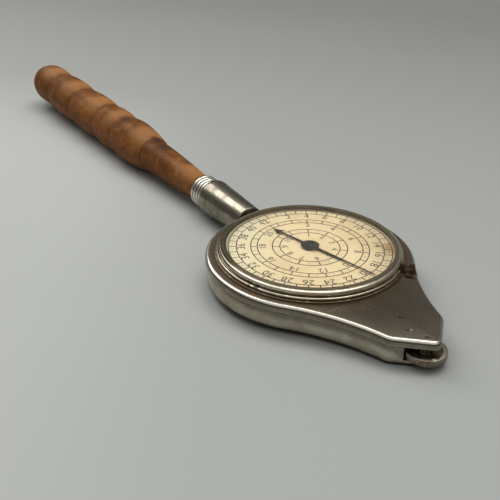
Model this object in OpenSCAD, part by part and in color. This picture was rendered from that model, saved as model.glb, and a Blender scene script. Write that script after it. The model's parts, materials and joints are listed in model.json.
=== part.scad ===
// Opisometer (map measurer): a milled wheel at the nose is rolled along a line on a map, and a train
// of gears inside the flat metal case turns the hand on the dial. A turned wooden handle holds it.
// Millimetres. Z is the axis of the hand, the nose points along +X and the handle along -X.
// Z is 0 on the flat back of the case.

/* [Case] */
// Radius of the round part of the case
case_r = 18.6; // [18:0.1:23]
// Radius of the hollow curve between the round case and the nose
flank_r = 40.5; // [30:0.5:50]
// Direction in which the hollow curve leaves the round case
flank_angle = 49; // [44:0.5:52]
// Half angle of the pointed end of the nose
nose_half_angle = 48; // [44:1:54]
// Rounding of the nose tip
tip_r = 1.3; // [1.2:0.1:2]
// Rounding of the two shoulders of the nose
shoulder_r = 3; // [2:0.1:4]
// How far the nose reaches past the axle of the measuring wheel
nose_overhang = 2.5; // [2:0.1:3]
// Thickness of the sheet that the back and the cover are pressed from
sheet_t = 0.5; // [0.4:0.05:0.7]
// Height of the case from its back to the top of the cover
case_h = 4.8; // [4.7:0.1:6.5]
// Height of the cover's turned-down rim
rim_h = 1.3; // [1:0.1:1.6]
// Thickness of the cover's turned-down rim
rim_t = 0.3; // [0.25:0.05:0.4]
// Rounding along the top edge of the cover
cover_round = 0.8; // [0.6:0.05:1]
// Rounding along the edge of the back
back_round = 0.35; // [0.2:0.05:0.6]

/* [Dial and glass] */
// Radius of the dial card
dial_r = 15.1; // [14:0.1:15.3]
// Height of the top of the dial card above the cover
dial_rise = 0.95; // [0.8:0.05:1.6]
// Thickness of the dial card
card_t = 0.12; // [0.1:0.01:0.3]
// Thickness of the dial plate
dial_plate_t = 0.4; // [0.3:0.05:0.6]
// Space between the dial card and the glass
glass_gap = 0.6; // [0.6:0.05:1.2]
// Thickness of the glass
glass_t = 0.35; // [0.3:0.05:1]
// Width of the rim that hides the edge of the glass
bezel_lip = 0.5; // [0.4:0.05:0.7]

/* [Hand] */
// Distance from the pointer's tip to the edge of the dial card
pointer_margin = 0.8; // [0.4:0.1:4]
// Reach of the arrow-headed tail from its axis
tail_reach = 8.9; // [7:0.1:11]
// Direction of the pointer at rest, from the nose
hand_angle = 13; // [0:0.1:360]
// Thickness of the hand
hand_t = 0.12; // [0.1:0.01:0.15]
// Radius of the cap on the hand
cap_r = 1.65; // [1.2:0.05:2]

/* [Gear train] */
// Module of the gears between the measuring wheel and the second arbor
wheel_module = 0.3; // [0.28:0.01:0.31]
// Module of the gears between the second arbor and the hand
hand_module = 0.42; // [0.4:0.01:0.43]
// Teeth of the pinion under the measuring wheel
wheel_pinion_teeth = 10; // [10:2:12]
// Teeth of the idler gear
idler_teeth = 30; // [28:2:32]
// Teeth of the gear on the second arbor
second_gear_teeth = 26; // [24:2:28]
// Teeth of the pinion on the second arbor
second_pinion_teeth = 12; // [12:2:14]
// Teeth of the gear on the hand's arbor
centre_gear_teeth = 60; // [56:2:62]
// Thickness of the gears
gear_t = 0.5; // [0.4:0.05:0.6]
// Radius of the arbors
arbor_r = 0.6; // [0.5:0.05:0.7]
// Radius of the pivots at the ends of the arbors
pivot_r = 0.3; // [0.25:0.01:0.4]

/* [Measuring wheel] */
// Radius of the measuring wheel over its milled rim
wheel_r = 3.34; // [3:0.01:3.9]
// Thickness of the measuring wheel
wheel_t = 1.1; // [0.8:0.05:1.3]
// Number of notches milled in the rim
wheel_notches = 48; // [32:1:60]
// Depth of the notches
notch_depth = 0.16; // [0.1:0.01:0.25]

/* [Handle] */
// Height above the back at which the handle's axis passes the hand's axis
handle_z = 2.3; // [2.2:0.1:2.6]
// Angle by which the handle leans down from the case
handle_lean = 0.5; // [0:0.1:1]
// Distance from the hand's axis to the thick end of the ferrule's taper
ferrule_shoulder_x = 33; // [30:0.1:36]
// Distance from the hand's axis to the end of the ferrule
ferrule_end_x = 38.1; // [37.5:0.1:46]
// Radius of the ferrule beside the case
ferrule_small_r = 3.15; // [2.9:0.05:3.6]
// Radius of the ferrule at the thick end of its taper
ferrule_big_r = 3.85; // [3.7:0.05:4.6]
// Number of beads turned in the ferrule's end
ferrule_beads = 4; // [3:1:5]
// Length of the plain stem of the handle
stem_len = 23.9; // [16:0.1:30]
// Length of each long bead of the handle
bead_len = 16.8; // [14:0.1:22]
// Length of the short bead beside the belly
short_bead_len = 11; // [8:0.1:14]
// Length of the rounded end bead
knob_len = 17.5; // [14:0.1:22]
// Largest radius of the handle
handle_r = 5.7; // [5:0.1:7.5]
// Depth of the grooves between the beads
groove_depth = 0.7; // [0.4:0.1:1.5]

/* [Hidden] */
$fn = 64;

// Clearances: between pieces of the case, round a turning pivot, between pieces that only pass, on an
// arbor that carries its gear, and at the ends of a turning arbor
fit_gap = 0.03;
pivot_gap = 0.03;
free_gap = 0.25;
press_gap = 0.01;
end_play = 0.05;
// How far a hole or a cut runs past the piece that it is cut from
over = 1;

// Distances between the arbors, and the places of the arbors along X
centre_pitch_r = hand_module * centre_gear_teeth / 2;
second_pitch_r = wheel_module * second_gear_teeth / 2;
centre_distance = hand_module * (centre_gear_teeth + second_pinion_teeth) / 2;
second_distance = wheel_module * (second_gear_teeth + idler_teeth) / 2;
idler_distance = wheel_module * (idler_teeth + wheel_pinion_teeth) / 2;
second_x = centre_distance;
idler_x = second_x + second_distance;
wheel_x = idler_x + idler_distance;
nose_x = wheel_x + nose_overhang;

// Heights inside the case, from the back up
bush_h = 0.5;
bush_r = 0.65;
bush_floor = 0.1;
bush_top = sheet_t + bush_h;
wheel_z = bush_top + 0.15;
pinion_z = bush_top + 0.1;
centre_gear_z = pinion_z + 0.2;
cover_under = case_h - sheet_t;
plate_t = 0.6;
plate_under_cover = 0.2;
plate_z = cover_under - plate_under_cover - plate_t;
second_gear_z = plate_z - 0.55 - gear_t;
pinion_t = gear_t + 2 * (centre_gear_z - pinion_z);
rim_z = case_h - rim_h;

// The back stands inside the cover's rim
back_inset = rim_t + fit_gap;
inside_inset = back_inset + sheet_t;

// Dial, glass and bezel, from the dial up and outwards
dial_z = case_h + dial_rise;
dial_plate_z = dial_z - card_t - dial_plate_t;
glass_z = dial_z + glass_gap;
glass_top = glass_z + glass_t;
ring_wall = 0.25;
glass_r = dial_r + fit_gap + ring_wall;
collar_in_r = glass_r + fit_gap;
collar_t = 0.4;
collar_out_r = collar_in_r + collar_t;
collar_top = glass_z - 0.45;
bezel_in_r = collar_out_r + fit_gap;
bezel_wall = 0.4;
bezel_out_r = bezel_in_r + bezel_wall;
bezel_top = glass_top + 0.1;
ridge_r = 0.35;
ridge_at_r = bezel_in_r + 0.02;
bead_r = 0.25;
bead_at_r = bezel_out_r + 0.1;
foot_out_r = bezel_out_r + 0.7;

// The hand stands clear of the dial and under the glass
hand_z = dial_z + 0.25;
pointer_reach = dial_r - pointer_margin;
cap_h = 0.15;
centre_hole_r = arbor_r + free_gap;

// Straight part and places of the handle
collar_len = 1;
stud_r = 1.1;
stud_head_r = 1.5;
stud_head_t = 0.6;
collar_r = 2.3;
band_x = case_r - back_inset;
stud_head_x = band_x - sheet_t - 0.35;
collar_x = case_r + 0.05;
ferrule_x = case_r + collar_len;
ferrule_wall = 1;
ferrule_bore_r = 2.6;
tenon_len = 8;
stem_x = ferrule_end_x;
belly_x = stem_x + stem_len;
beads_x = belly_x + bead_len;
stud_len = belly_x + 6;

brass = "goldenrod";
nickel = "silver";
steel = "slategray";

// Cutter for a hole through a piece that stands from Z = 0 to Z = h
module bore(r, h, sides = 32) {
    translate([0, 0, -over]) cylinder(r = r, h = h + 2 * over, $fn = sides);
}

// Points on an arc, without its last one
function arc(centre, r, from, to, count) =
    [for (k = [0 : count - 1])
        let (a = from + (to - from) * k / count)
        centre + r * [cos(a), sin(a)]];

// Centres of the arcs that make up the outline of the case
flank_c = (case_r + flank_r) * [cos(flank_angle), sin(flank_angle)];
tip_c = [nose_x - tip_r, 0];
face_dir = 90 - nose_half_angle;
face_normal = [cos(face_dir), sin(face_dir)];
face_along = [-sin(face_dir), cos(face_dir)];

// The shoulder's centre is on a line parallel to the nose face and touches the hollow curve
shoulder_start = tip_c + face_normal * (tip_r - shoulder_r);
to_start = shoulder_start - flank_c;
reach_b = to_start * face_along;
reach_c = to_start * to_start - pow(flank_r + shoulder_r, 2);
shoulder_c = shoulder_start + face_along * (-reach_b - sqrt(reach_b * reach_b - reach_c));
shoulder_dir = atan2(flank_c[1] - shoulder_c[1], flank_c[0] - shoulder_c[0]);

// The slot for the wheel runs round the nose until the wheel is clear of the wall
to_wheel = [wheel_x, 0] - tip_c;
wheel_in_wall = to_wheel * face_normal - tip_r + inside_inset;
slot_len = to_wheel * face_along + sqrt(pow(wheel_r + free_gap, 2) - pow(wheel_in_wall, 2));
slot_points = 3 + 2;

// Outline of the case, moved in by inset, always with the same number of points
function half_outline(inset) = concat(
    arc(tip_c, tip_r - inset, 0, face_dir, 3),
    [for (d = [0, slot_len, slot_len + 0.05]) tip_c + (tip_r - inset) * face_normal + d * face_along],
    arc(shoulder_c, shoulder_r - inset, face_dir, shoulder_dir, 5),
    arc(flank_c, flank_r + inset, shoulder_dir + 180, flank_angle + 180, 9),
    arc([0, 0], case_r - inset, flank_angle, 180, 22));
function outline(inset) =
    let (half = half_outline(inset), last = len(half) - 1)
    concat(half, [[inset - case_r, 0]], [for (k = [last : -1 : 1]) [half[k][0], -half[k][1]]]);
function at_height(ring, z) = [for (p = ring) [p[0], p[1], z]];

// Solid whose surface runs over the rings of points in turn. A closed one joins the last ring to the
// first, and any other has its first and last rings filled.
module skin(rings, closed) {
    count = len(rings[0]);
    bands = closed ? len(rings) : len(rings) - 1;
    function at(k, j) = (k % len(rings)) * count + j % count;
    sides = [for (k = [0 : bands - 1]) for (j = [0 : count - 1])
        each [[at(k, j), at(k + 1, j), at(k + 1, j + 1)], [at(k, j), at(k + 1, j + 1), at(k, j + 1)]]];
    ends = closed ? [] : [[for (j = [0 : count - 1]) j],
                          [for (j = [count - 1 : -1 : 0]) (len(rings) - 1) * count + j]];
    polyhedron(points = [for (ring = rings) each ring], faces = concat(sides, ends));
}

// Back plate and side wall in one pressing, open round the nose for the measuring wheel
module case_back() {
    steps = 3;
    outer = outline(back_inset);
    inner = outline(inside_inset);
    count = len(outer);
    slot_bottom = wheel_z - free_gap;
    tops = [for (j = [0 : count - 1])
        j < slot_points || j > count - slot_points ? slot_bottom : cover_under];
    edge = [for (k = [steps : -1 : 0])
        let (a = 90 * k / steps)
        at_height(outline(back_inset + back_round * (1 - cos(a))), back_round * (1 - sin(a)))];
    color(nickel) difference() {
        skin(concat(edge,
                    [[for (j = [0 : count - 1]) [outer[j][0], outer[j][1], tops[j]]],
                     [for (j = [0 : count - 1]) [inner[j][0], inner[j][1], tops[j]]],
                     at_height(inner, sheet_t)]), false);
        along_handle() translate([0, 0, stud_head_x]) bore(stud_r + fit_gap, band_x - stud_head_x);
    }
}

// Cover with its rounded edge, its turned-down rim and the round opening for the dial
module case_cover() {
    steps = 4;
    opening = [for (p = outline(0)) collar_in_r * p / norm(p)];
    edge = [for (k = [0 : steps])
        let (a = 90 * k / steps)
        at_height(outline(cover_round * (1 - cos(a))), case_h - cover_round * (1 - sin(a)))];
    color(nickel) skin(concat([at_height(outline(0), rim_z)], edge,
                              [at_height(opening, case_h), at_height(opening, cover_under),
                               at_height(outline(rim_t), cover_under), at_height(outline(rim_t), rim_z)]),
                       true);
}

// Collar soldered on the cover round its opening: it carries the dial and the bezel
module dial_collar() {
    color(nickel) translate([0, 0, case_h]) difference() {
        cylinder(r = collar_out_r, h = collar_top - case_h, $fn = 96);
        bore(collar_in_r, collar_top - case_h, 96);
    }
}

// Bezel: a ring that grips the cover's collar, with a foot, a bead, a rolled ridge and a lip
module bezel() {
    lip_r = glass_r - bezel_lip;
    lip_out_r = glass_r + fit_gap;
    foot_t = 0.25;
    ridge_z = glass_top - 0.85;
    bead_z = case_h + 0.55;
    color(nickel) rotate_extrude() {
        difference() {
            union() {
                polygon([[bezel_in_r, case_h], [bezel_out_r, case_h], [bezel_out_r, bead_z],
                         [ridge_at_r, ridge_z], [ridge_at_r, ridge_z + ridge_r - 0.1],
                         [lip_out_r + 0.3, glass_top - 0.1], [lip_out_r, bezel_top],
                         [lip_r + 0.1, bezel_top], [lip_r, bezel_top - 0.05], [lip_r, glass_top],
                         [lip_out_r, glass_top], [lip_out_r, collar_top + fit_gap],
                         [bezel_in_r, collar_top + fit_gap]]);
                translate([ridge_at_r, ridge_z]) circle(r = ridge_r, $fn = 24);
                translate([bead_at_r, bead_z]) circle(r = bead_r, $fn = 24);
                translate([bezel_in_r, case_h]) square([foot_out_r - bezel_in_r, foot_t]);
            }
            translate([0, case_h - over]) square([foot_out_r + over, over]);
            square([bezel_in_r, collar_top + fit_gap]);
        }
    }
}

// Flat glass
module glass() {
    color("lightcyan", 0.4) translate([0, 0, glass_z]) cylinder(r = glass_r, h = glass_t, $fn = 96);
}

// Ring between the dial plate and the glass
module glass_ring() {
    color(nickel) translate([0, 0, dial_z - card_t]) difference() {
        cylinder(r = glass_r - fit_gap, h = card_t + glass_gap, $fn = 96);
        bore(dial_r + fit_gap, card_t + glass_gap, 96);
    }
}

// Disc with a hole in its middle for the hand's arbor
module dial_disc(r, z, t) {
    translate([0, 0, z]) difference() {
        cylinder(r = r, h = t, $fn = 96);
        bore(centre_hole_r, t);
    }
}
module dial_card() {
    color("cornsilk") dial_disc(dial_r, dial_z - card_t, card_t);
}
module dial_plate() {
    color(brass) dial_disc(glass_r - fit_gap, dial_plate_z, dial_plate_t);
}

// Three feet between the dial plate and the movement plate
foot_r = 0.8;
foot_circle_r = 12;
module dial_feet() {
    color(brass) for (a = [60, 180, 300])
        rotate([0, 0, a]) translate([foot_circle_r, 0, plate_z + plate_t])
            cylinder(r = foot_r, h = dial_plate_z - plate_z - plate_t);
}

// Places of the four pillars: two in the neck and two on the handle's side
pillar_r = 0.9;
front_pillar = [second_x + 2.4, 7.2];
rear_pillar = (case_r - inside_inset - pillar_r - 1.5) * [cos(140), sin(140)];
module at_pillars() {
    for (side = [-1, 1]) {
        translate([front_pillar[0], side * front_pillar[1], 0]) children();
        translate([rear_pillar[0], side * rear_pillar[1], 0]) children();
    }
}
screw_r = 0.45;
screw_head_r = 0.8;
screw_head_t = 0.3;
screw_depth = 1.5;
screw_slot_w = 0.2;
screw_slot_depth = 0.15;
module pillars() {
    color(brass) at_pillars() difference() {
        translate([0, 0, sheet_t]) cylinder(r = pillar_r, h = plate_z - sheet_t, $fn = 32);
        translate([0, 0, plate_z - screw_depth])
            cylinder(r = screw_r + fit_gap, h = screw_depth + over, $fn = 24);
    }
}
module plate_screws() {
    color(steel) at_pillars() difference() {
        union() {
            translate([0, 0, plate_z + plate_t - screw_head_t])
                cylinder(r = screw_head_r, h = screw_head_t, $fn = 24);
            translate([0, 0, plate_z - screw_depth + 0.1])
                cylinder(r = screw_r, h = screw_depth + plate_t - screw_head_t, $fn = 24);
        }
        translate([-screw_head_r - over, -screw_slot_w / 2, plate_z + plate_t - screw_slot_depth])
            cube([2 * (screw_head_r + over), screw_slot_w, over]);
    }
}

// Plate over the gears, with the upper bearings of the arbors. It follows the inside of the case.
module movement_plate() {
    color(brass) difference() {
        translate([0, 0, plate_z]) linear_extrude(plate_t) polygon(outline(inside_inset + free_gap));
        for (x = [second_x, idler_x, wheel_x])
            translate([x, 0, plate_z]) bore(pivot_r + pivot_gap, plate_t);
        translate([0, 0, plate_z]) bore(arbor_r + pivot_gap, plate_t);
        translate([-case_r, -stud_head_r - free_gap, plate_z - over])
            cube([case_r - stud_head_x + stud_head_t + free_gap, 2 * (stud_head_r + free_gap),
                  plate_t + 2 * over]);
        at_pillars() translate([0, 0, plate_z]) bore(screw_r + fit_gap, plate_t, 24);
        at_pillars() translate([0, 0, plate_z + plate_t - screw_head_t])
            cylinder(r = screw_head_r + fit_gap, h = over, $fn = 24);
    }
}

// Bearings for the lower ends of the arbors, fixed to the inside of the back
module back_bushes() {
    color(brass) for (x = [0, second_x, idler_x, wheel_x])
        translate([x, 0, sheet_t]) difference() {
            cylinder(r = bush_r, h = bush_h, $fn = 32);
            translate([0, 0, bush_floor]) cylinder(r = pivot_r + pivot_gap, h = over, $fn = 32);
        }
}

// Involute of the angle at radius r of a gear with the base radius rb, in degrees
function inv_at(r, rb) =
    let (a = r > rb ? acos(rb / r) : 0)
    tan(a) * 180 / PI - a;

// Outline of a gear whose first tooth points along X. Backlash is taken off the teeth.
pressure_angle = 20;
backlash = 0.09;
function gear_outline(teeth, m) =
    let (rp = m * teeth / 2, rb = rp * cos(pressure_angle), root = rp - 1.2 * m, tip = rp + 0.9 * m)
    let (mid = max(rb, root + 0.01), half = 90 / teeth - backlash / rp * 90 / PI + inv_at(rp, rb))
    let (radii = [root, mid, (rp + mid) / 2 + 0.1 * m, (rp + tip) / 2, tip])
    [for (k = [0 : teeth - 1])
        let (a = 360 * k / teeth)
        each concat(
            [for (r = radii) let (w = half - inv_at(r, rb)) r * [cos(a - w), sin(a - w)]],
            [for (j = [len(radii) - 1 : -1 : 0])
                let (r = radii[j], w = half - inv_at(r, rb)) r * [cos(a + w), sin(a + w)]])];

// Toothed disc on an arbor, turned by phase
module gear(teeth, m, phase, z, t) {
    translate([0, 0, z]) rotate([0, 0, phase]) difference() {
        linear_extrude(t) polygon(gear_outline(teeth, m));
        bore(arbor_r + press_gap, t);
    }
}

// Round windows cut through a large gear, between its hub and its teeth
module windows(count, at, r, z) {
    for (k = [0 : count - 1])
        rotate([0, 0, 360 * (k + 0.5) / count]) translate([at, 0, z]) bore(r, gear_t);
}

// Arbor with a pivot at each end, in its bush and in the movement plate
pivot_z = sheet_t + bush_floor + 0.02;
arbor_z = bush_top + end_play;
module arbor(x) {
    translate([x, 0, pivot_z]) cylinder(r = pivot_r, h = plate_z + plate_t - pivot_z, $fn = 32);
    translate([x, 0, arbor_z]) cylinder(r = arbor_r, h = plate_z - end_play - arbor_z, $fn = 32);
}

// Hand's arbor: it passes the movement plate and the dial and carries the hand
module centre_arbor() {
    color(steel) {
        translate([0, 0, pivot_z]) cylinder(r = pivot_r, h = 2 * bush_h, $fn = 32);
        translate([0, 0, arbor_z]) cylinder(r = arbor_r, h = hand_z - arbor_z, $fn = 32);
        translate([0, 0, arbor_z])
            cylinder(r = pivot_r, h = hand_z + hand_t + cap_h / 2 - arbor_z, $fn = 32);
    }
}
module centre_gear() {
    color(brass) difference() {
        gear(centre_gear_teeth, hand_module, 0, centre_gear_z, gear_t);
        windows(5, 0.54 * centre_pitch_r, 0.22 * centre_pitch_r, centre_gear_z);
    }
}

// Second arbor: its pinion drives the hand's gear
module second_arbor() {
    color(steel) arbor(second_x);
}
module second_gear() {
    color(brass) translate([second_x, 0, 0]) difference() {
        gear(second_gear_teeth, wheel_module, 0, second_gear_z, gear_t);
        windows(5, 0.54 * second_pitch_r, 0.2 * second_pitch_r, second_gear_z);
    }
}
module second_pinion() {
    color(steel) translate([second_x, 0, 0])
        gear(second_pinion_teeth, hand_module, 180 + 180 / second_pinion_teeth, pinion_z, pinion_t);
}

// Idler between the second arbor and the measuring wheel
module idler_arbor() {
    color(steel) arbor(idler_x);
}
module idler_gear() {
    color(brass) translate([idler_x, 0, 0])
        gear(idler_teeth, wheel_module, 180 + 180 / idler_teeth, second_gear_z, gear_t);
}

// Measuring wheel with its pinion on one arbor
module wheel_arbor() {
    color(steel) arbor(wheel_x);
}
module wheel_pinion() {
    color(steel) translate([wheel_x, 0, 0])
        gear(wheel_pinion_teeth, wheel_module, 0, wheel_z + wheel_t + end_play,
             second_gear_z + gear_t + 0.15 - wheel_z - wheel_t);
}
module measuring_wheel() {
    rim = [for (k = [0 : 2 * wheel_notches - 1])
        let (a = 180 * k / wheel_notches, r = wheel_r - (k % 2) * notch_depth)
        r * [cos(a), sin(a)]];
    rim_w = 0.8;
    hub_w = 0.7;
    recess_depth = 0.2;
    color(steel) translate([wheel_x, 0, wheel_z]) difference() {
        linear_extrude(wheel_t) polygon(rim);
        bore(arbor_r + press_gap, wheel_t);
        translate([0, 0, wheel_t - recess_depth]) difference() {
            cylinder(r = wheel_r - rim_w, h = over);
            bore(arbor_r + hub_w, over);
        }
    }
}

// Hand: a thin pointer on one side and an arrow-headed tail on the other
module hand() {
    boss_r = arbor_r + 0.5;
    shaft_w = 0.16;
    barb_x = tail_reach - 1.7;
    barb_w = 0.85;
    color("black") translate([0, 0, hand_z]) rotate([0, 0, hand_angle]) difference() {
        linear_extrude(hand_t) {
            circle(r = boss_r, $fn = 32);
            polygon([[0, -0.3], [pointer_reach - 0.5, -shaft_w / 2], [pointer_reach, 0],
                     [pointer_reach - 0.5, shaft_w / 2], [0, 0.3]]);
            polygon([[0, 0.25], [-barb_x, shaft_w], [-barb_x + 0.5, barb_w], [-tail_reach, 0],
                     [-barb_x + 0.5, -barb_w], [-barb_x, -shaft_w], [0, -0.25]]);
        }
        bore(pivot_r + press_gap, hand_t);
    }
}

// Domed cap that holds the hand on its arbor
module hand_cap() {
    color("black") translate([0, 0, hand_z + hand_t]) difference() {
        rotate_extrude() polygon([[0, 0], [cap_r, 0], [cap_r, cap_h * 0.4], [cap_r * 0.75, cap_h * 0.85],
                                  [cap_r * 0.35, cap_h], [0, cap_h]]);
        translate([0, 0, -over]) cylinder(r = pivot_r + press_gap, h = over + cap_h / 2, $fn = 24);
    }
}

// Turns a shape drawn along Z so that it lies along the handle's axis, with Z as distance from the hand
module along_handle() {
    translate([0, 0, handle_z]) rotate([0, -90 - handle_lean, 0]) children();
}

// Stud riveted in the side wall: its long tang runs through the ferrule into the wood
module handle_stud() {
    color(steel) along_handle() {
        translate([0, 0, stud_head_x - stud_head_t])
            cylinder(r = stud_head_r, h = stud_head_t, $fn = 32);
        translate([0, 0, stud_head_x - stud_head_t])
            cylinder(r = stud_r, h = stud_len - stud_head_x + stud_head_t, $fn = 32);
    }
}

// Collar between the case and the ferrule
module stud_collar() {
    height = ferrule_x - collar_x;
    color("dimgray") along_handle() translate([0, 0, collar_x]) difference() {
        cylinder(r = collar_r, h = height, $fn = 48);
        bore(stud_r + fit_gap, height);
    }
}

// Ferrule: a tapered tube with a step and a row of turned beads at its open end
module ferrule() {
    ring_r = ferrule_small_r - 0.05;
    step_x = ferrule_shoulder_x + 1.1;
    bead_pitch = (ferrule_end_x - step_x) / ferrule_beads;
    color(nickel) along_handle() difference() {
        rotate_extrude() {
            polygon([[0, ferrule_x], [ferrule_small_r - 0.2, ferrule_x], [ferrule_small_r, ferrule_x + 0.2],
                     [ferrule_big_r, ferrule_shoulder_x], [ferrule_big_r - 0.1, step_x - 0.2],
                     [ferrule_big_r - 0.35, step_x], [ring_r, step_x], [ring_r, ferrule_end_x],
                     [0, ferrule_end_x]]);
            for (k = [0 : ferrule_beads - 1])
                translate([ring_r - 0.1, step_x + bead_pitch * (k + 0.5)])
                    circle(r = bead_pitch * 0.4, $fn = 24);
        }
        translate([0, 0, ferrule_x + ferrule_wall])
            cylinder(r = ferrule_bore_r + fit_gap, h = ferrule_end_x, $fn = 48);
        translate([0, 0, ferrule_x]) bore(stud_r + fit_gap, ferrule_wall);
    }
}

// Points of a barrel between two grooves, from one groove to just before the next
function barrel(from, length, r, steps) =
    [for (k = [0 : steps - 1])
        let (t = k / steps)
        [r - groove_depth * pow(abs(2 * t - 1), 2.4), from + length * t]];

// Handle: a stem, a small shoulder, a belly that swells to the first groove, three beads and a rounded end
module handle() {
    stem_r = ferrule_small_r - 0.4;
    shoulder_h = 0.25;
    neck_r = handle_r - 1.85;
    belly_r = handle_r - 0.25;
    stem = [for (k = [0 : 7])
        let (t = k / 8)
        [stem_r + (neck_r - stem_r) * pow(sin(90 * t), 1.2), stem_x + stem_len * t]];
    belly = [for (k = [0 : 9])
        let (t = k / 10, start_r = neck_r + shoulder_h)
        let (end_r = belly_r - groove_depth * pow(max(0, (t - 0.6) / 0.4), 2.4))
        [start_r + (end_r - start_r) * pow(sin(90 * min(1, t / 0.75)), 0.9), belly_x + bead_len * t]];
    beads = concat(barrel(beads_x, short_bead_len, belly_r, 6),
                   barrel(beads_x + short_bead_len, bead_len, handle_r - 0.1, 8),
                   barrel(beads_x + short_bead_len + bead_len, bead_len, handle_r, 8));
    knob_x = beads_x + short_bead_len + 2 * bead_len;
    knob_r = handle_r - 0.1;
    knob = [for (k = [0 : 9])
        let (t = k / 10, a = 90 * (t - 0.45) / 0.55)
        [t < 0.45 ? knob_r - groove_depth * pow(abs(t / 0.45 - 1), 2.4) : knob_r * pow(cos(a), 0.55),
         knob_x + knob_len * t]];
    tip = [[0, knob_x + knob_len]];
    color("sienna") along_handle() difference() {
        union() {
            rotate_extrude() polygon(concat([[0, stem_x]], stem, belly, beads, knob, tip));
            translate([0, 0, stem_x - tenon_len])
                cylinder(r = ferrule_bore_r, h = tenon_len + over, $fn = 48);
        }
        translate([0, 0, stem_x - tenon_len - over])
            cylinder(r = stud_r + press_gap, h = stud_len - stem_x + tenon_len + over + end_play, $fn = 32);
    }
}

case_back();
case_cover();
bezel();
glass();
glass_ring();
dial_collar();
dial_card();
dial_plate();
dial_feet();
movement_plate();
pillars();
plate_screws();
back_bushes();
hand();
hand_cap();
centre_arbor();
centre_gear();
second_arbor();
second_gear();
second_pinion();
idler_arbor();
idler_gear();
wheel_arbor();
wheel_pinion();
measuring_wheel();
handle_stud();
stud_collar();
ferrule();
handle();
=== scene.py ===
import json
import math

import bmesh
import bpy
from mathutils import Matrix, Vector
from mathutils.noise import fractal


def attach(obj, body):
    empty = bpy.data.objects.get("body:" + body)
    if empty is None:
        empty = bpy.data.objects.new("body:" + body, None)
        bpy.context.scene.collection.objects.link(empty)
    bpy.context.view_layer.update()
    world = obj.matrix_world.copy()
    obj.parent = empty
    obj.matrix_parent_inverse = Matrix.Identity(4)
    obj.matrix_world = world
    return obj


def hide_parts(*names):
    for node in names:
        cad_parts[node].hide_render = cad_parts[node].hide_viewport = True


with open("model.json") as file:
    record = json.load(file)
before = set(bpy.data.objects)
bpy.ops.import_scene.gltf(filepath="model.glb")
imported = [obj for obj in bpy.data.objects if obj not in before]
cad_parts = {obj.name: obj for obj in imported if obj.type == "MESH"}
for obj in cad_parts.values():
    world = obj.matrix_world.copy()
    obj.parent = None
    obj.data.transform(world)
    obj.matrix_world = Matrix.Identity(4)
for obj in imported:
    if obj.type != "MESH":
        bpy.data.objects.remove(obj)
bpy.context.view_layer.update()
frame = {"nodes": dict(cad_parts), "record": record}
nodes = frame["nodes"]
scene = bpy.context.scene
mm = 0.001
print("frame loaded:", len(nodes), "nodes")


def inMetres(lengths):
    return [length * mm for length in lengths]


# Small helpers for node trees. Patterns read Object coordinates, in metres.
def newMaterial(name):
    material = bpy.data.materials.new(name)
    material.use_nodes = True
    tree = material.node_tree
    shader = tree.nodes["Principled BSDF"]
    coords = tree.nodes.new("ShaderNodeTexCoord").outputs["Object"]
    return material, tree, shader, coords


def setValues(shader, **values):
    for name, value in values.items():
        shader.inputs[name.replace("_", " ")].default_value = value


def noise(tree, coords, scale, detail=4.0, roughness=0.55, stretch=None, distortion=0.0):
    if stretch:
        mapping = tree.nodes.new("ShaderNodeMapping")
        mapping.inputs["Scale"].default_value = stretch
        tree.links.new(coords, mapping.inputs["Vector"])
        coords = mapping.outputs["Vector"]
    node = tree.nodes.new("ShaderNodeTexNoise")
    node.inputs["Scale"].default_value = scale
    node.inputs["Detail"].default_value = detail
    node.inputs["Roughness"].default_value = roughness
    node.inputs["Distortion"].default_value = distortion
    tree.links.new(coords, node.inputs["Vector"])
    return node.outputs["Fac"]


def calc(tree, operation, a, b=None, c=None):
    node = tree.nodes.new("ShaderNodeMath")
    node.operation = operation
    for socket, value in zip(node.inputs, (a, b, c)):
        if value is None:
            continue
        if isinstance(value, (int, float)):
            socket.default_value = value
        else:
            tree.links.new(value, socket)
    return node.outputs[0]


def span(tree, value, low, high, toLow=0.0, toHigh=1.0):  # smooth step from low to high
    node = tree.nodes.new("ShaderNodeMapRange")
    node.interpolation_type = "SMOOTHSTEP"
    ends = {"From Min": low, "From Max": high, "To Min": toLow, "To Max": toHigh}
    for socket, number in ends.items():
        node.inputs[socket].default_value = number
    tree.links.new(value, node.inputs["Value"])
    return node.outputs["Result"]


def band(tree, value, start, full, fade, end):  # 1 between full and fade, 0 outside start and end
    return calc(tree, "MULTIPLY", span(tree, value, start, full), span(tree, value, end, fade))


def blendColours(tree, factor, first, second):
    node = tree.nodes.new("ShaderNodeMix")
    node.data_type = "RGBA"
    tree.links.new(factor, node.inputs["Factor"])
    for socket, value in ((node.inputs["A"], first), (node.inputs["B"], second)):
        if isinstance(value, tuple):
            socket.default_value = (*value, 1.0)
        else:
            tree.links.new(value, socket)
    return node.outputs["Result"]


def vectorCalc(tree, operation, a, b):
    node = tree.nodes.new("ShaderNodeVectorMath")
    node.operation = operation
    tree.links.new(a, node.inputs[0])
    node.inputs[1].default_value = b
    return node.outputs["Value" if operation in ("DISTANCE", "DOT_PRODUCT") else "Vector"]


def splitCoords(tree, coords):
    node = tree.nodes.new("ShaderNodeSeparateXYZ")
    tree.links.new(coords, node.inputs[0])
    return {"x": node.outputs["X"], "y": node.outputs["Y"], "z": node.outputs["Z"]}


def radiusFrom(tree, coords):  # distance from the hand's axis
    flat = vectorCalc(tree, "MULTIPLY", coords, (1, 1, 0))
    return vectorCalc(tree, "DISTANCE", flat, (0, 0, 0))


def wander(tree, coords, scale, detail=4):  # noise about zero, for ragged edges
    return calc(tree, "SUBTRACT", noise(tree, coords, scale, detail, roughness=0.6), 0.5)


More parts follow.
